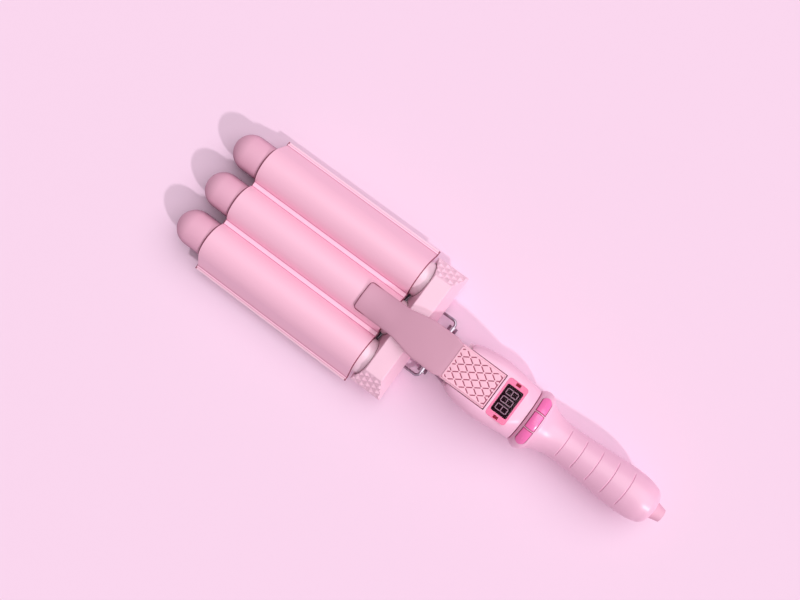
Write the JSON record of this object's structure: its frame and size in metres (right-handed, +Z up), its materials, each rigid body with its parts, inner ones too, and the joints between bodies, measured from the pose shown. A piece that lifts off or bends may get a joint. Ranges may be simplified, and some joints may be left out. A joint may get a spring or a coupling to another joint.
{
  "type": "hair waver",
  "caption": "Hair waver with barrels under a sprung arched jaw, thumb lever, fold-out wire stand, display, control ring with push buttons and a waisted handle.",
  "frame": {"origin": "middle of the part's bounding box, on the surface that it rests on", "axes": "+X from the cool tips towards the cord outlet, +Y to the left of a user who looks along +X, +Z up, out of the display"},
  "size_m": [0.4444, 0.1294, 0.0576],
  "materials": {
    "tip_plastic": "matt, fine grain",
    "barrel_coating": "satin ceramic coating on aluminium tube",
    "arch_coating": "satin ceramic coating on sheet",
    "plate_coating": "satin ceramic coating on sheet",
    "block_plastic": "satin with moulded diamond relief",
    "lever_plastic": "matt",
    "pad_rubber": "soft, quilted with grooves",
    "body_plastic": "satin",
    "handle_plastic": "satin",
    "ring_plastic": "satin",
    "collar_plastic": "gloss",
    "bezel_plastic": "gloss",
    "button_plastic": "gloss",
    "display_glass": "smoked, shiny",
    "display_electronics": "dark glass module",
    "indicator_plastic": "dark red, translucent look",
    "chrome_wire": "polished",
    "bright_collar": "polished",
    "steel": "plain",
    "spring_steel": "plain",
    "screw_steel": "zinc plated",
    "spreader_aluminium": "as extruded",
    "heater_ceramic": "ceramic heating element",
    "sensor_body": "potted",
    "bush_polymer": "heat-proof polymer",
    "neck_polymer": "satin",
    "board_laminate": "solder-masked laminate",
    "component_plastic": "moulded",
    "lead_sleeve": "silicone sleeve",
    "swivel_rubber": "soft, satin"
  },
  "bodies": {
    "handle_unit": {"barrel_left": "barrel_coating", "cool_tip_left": "tip_plastic", "heater_left": "heater_ceramic", "heat_spreaders_left": "spreader_aluminium", "barrel_middle": "barrel_coating", "cool_tip_middle": "tip_plastic", "heater_middle": "heater_ceramic", "heat_spreaders_middle": "spreader_aluminium", "barrel_right": "barrel_coating", "cool_tip_right": "tip_plastic", "heater_right": "heater_ceramic", "heat_spreaders_right": "spreader_aluminium", "thermistor": "sensor_body", "thermal_fuse": "sensor_body", "barrel_bushes": "bush_polymer", "barrel_bracket": "steel", "block_upper_shell": "block_plastic", "block_lower_shell": "block_plastic", "block_screws": "screw_steel", "neck_frame": "neck_polymer", "neck_collar": "collar_plastic", "neck_screws": "screw_steel", "pivot_pin": "steel", "stand_bosses": "bright_collar", "body_upper_shell": "body_plastic", "body_lower_shell": "body_plastic", "body_screws": "screw_steel", "display_bezel": "bezel_plastic", "display_lens": "display_glass", "display_module": "display_electronics", "indicator_windows": "indicator_plastic", "control_board": "board_laminate", "board_screws": "screw_steel", "filter_capacitor": "component_plastic", "heater_relay": "component_plastic", "processor": "component_plastic", "heater_leads": "lead_sleeve", "mains_lead": "lead_sleeve", "control_ring": "ring_plastic", "coupling_tube": "bush_polymer", "tact_switches": "component_plastic", "handle_upper_shell": "handle_plastic", "handle_lower_shell": "handle_plastic", "handle_screws": "screw_steel", "end_cap": "handle_plastic", "swivel_washer": "steel", "swivel_contacts": "component_plastic"},
    "clamp": {"jaw_cover": "arch_coating", "jaw_heat_plate": "plate_coating", "jaw_arm": "steel", "jaw_rivets": "screw_steel", "lever": "lever_plastic", "lever_screws": "screw_steel", "thumb_pad": "pad_rubber", "clamp_spring": "spring_steel"},
    "stand": {"stand_wire": "chrome_wire"},
    "minus_key": {"button_minus": "button_plastic"},
    "power_key": {"button_power": "button_plastic"},
    "plus_key": {"button_plus": "button_plastic"},
    "swivel": {"cord_swivel": "swivel_rubber"}
  },
  "joints": [
    {"name": "clamp", "type": "hinge", "parent": "handle_unit", "child": "clamp", "pos_m": [0.00955, 0, 0.0317], "axis": [0, 1, 0], "range_deg": [0, 12], "stiffness_Nm_per_rad": 0.8, "springref_deg": -11.46},
    {"name": "stand_fold", "type": "hinge", "parent": "handle_unit", "child": "stand", "pos_m": [0.00955, 0, 0.0077], "axis": [0, -1, 0], "range_deg": [0, 100]},
    {"name": "minus_press", "type": "slide", "parent": "handle_unit", "child": "minus_key", "axis": [0, -0.5821, -0.8131], "range_m": [0, 0.0007], "stiffness_N_per_m": 1500},
    {"name": "power_press", "type": "slide", "parent": "handle_unit", "child": "power_key", "axis": [0, 0, -1], "range_m": [0, 0.0007], "stiffness_N_per_m": 1500},
    {"name": "plus_press", "type": "slide", "parent": "handle_unit", "child": "plus_key", "axis": [0, 0.5821, -0.8131], "range_m": [0, 0.0007], "stiffness_N_per_m": 1500},
    {"name": "cord_swivel_turn", "type": "hinge", "parent": "handle_unit", "child": "swivel", "pos_m": [0.21325, 0, 0.0257], "axis": [1, 0, 0], "continuous": true}
  ]
}
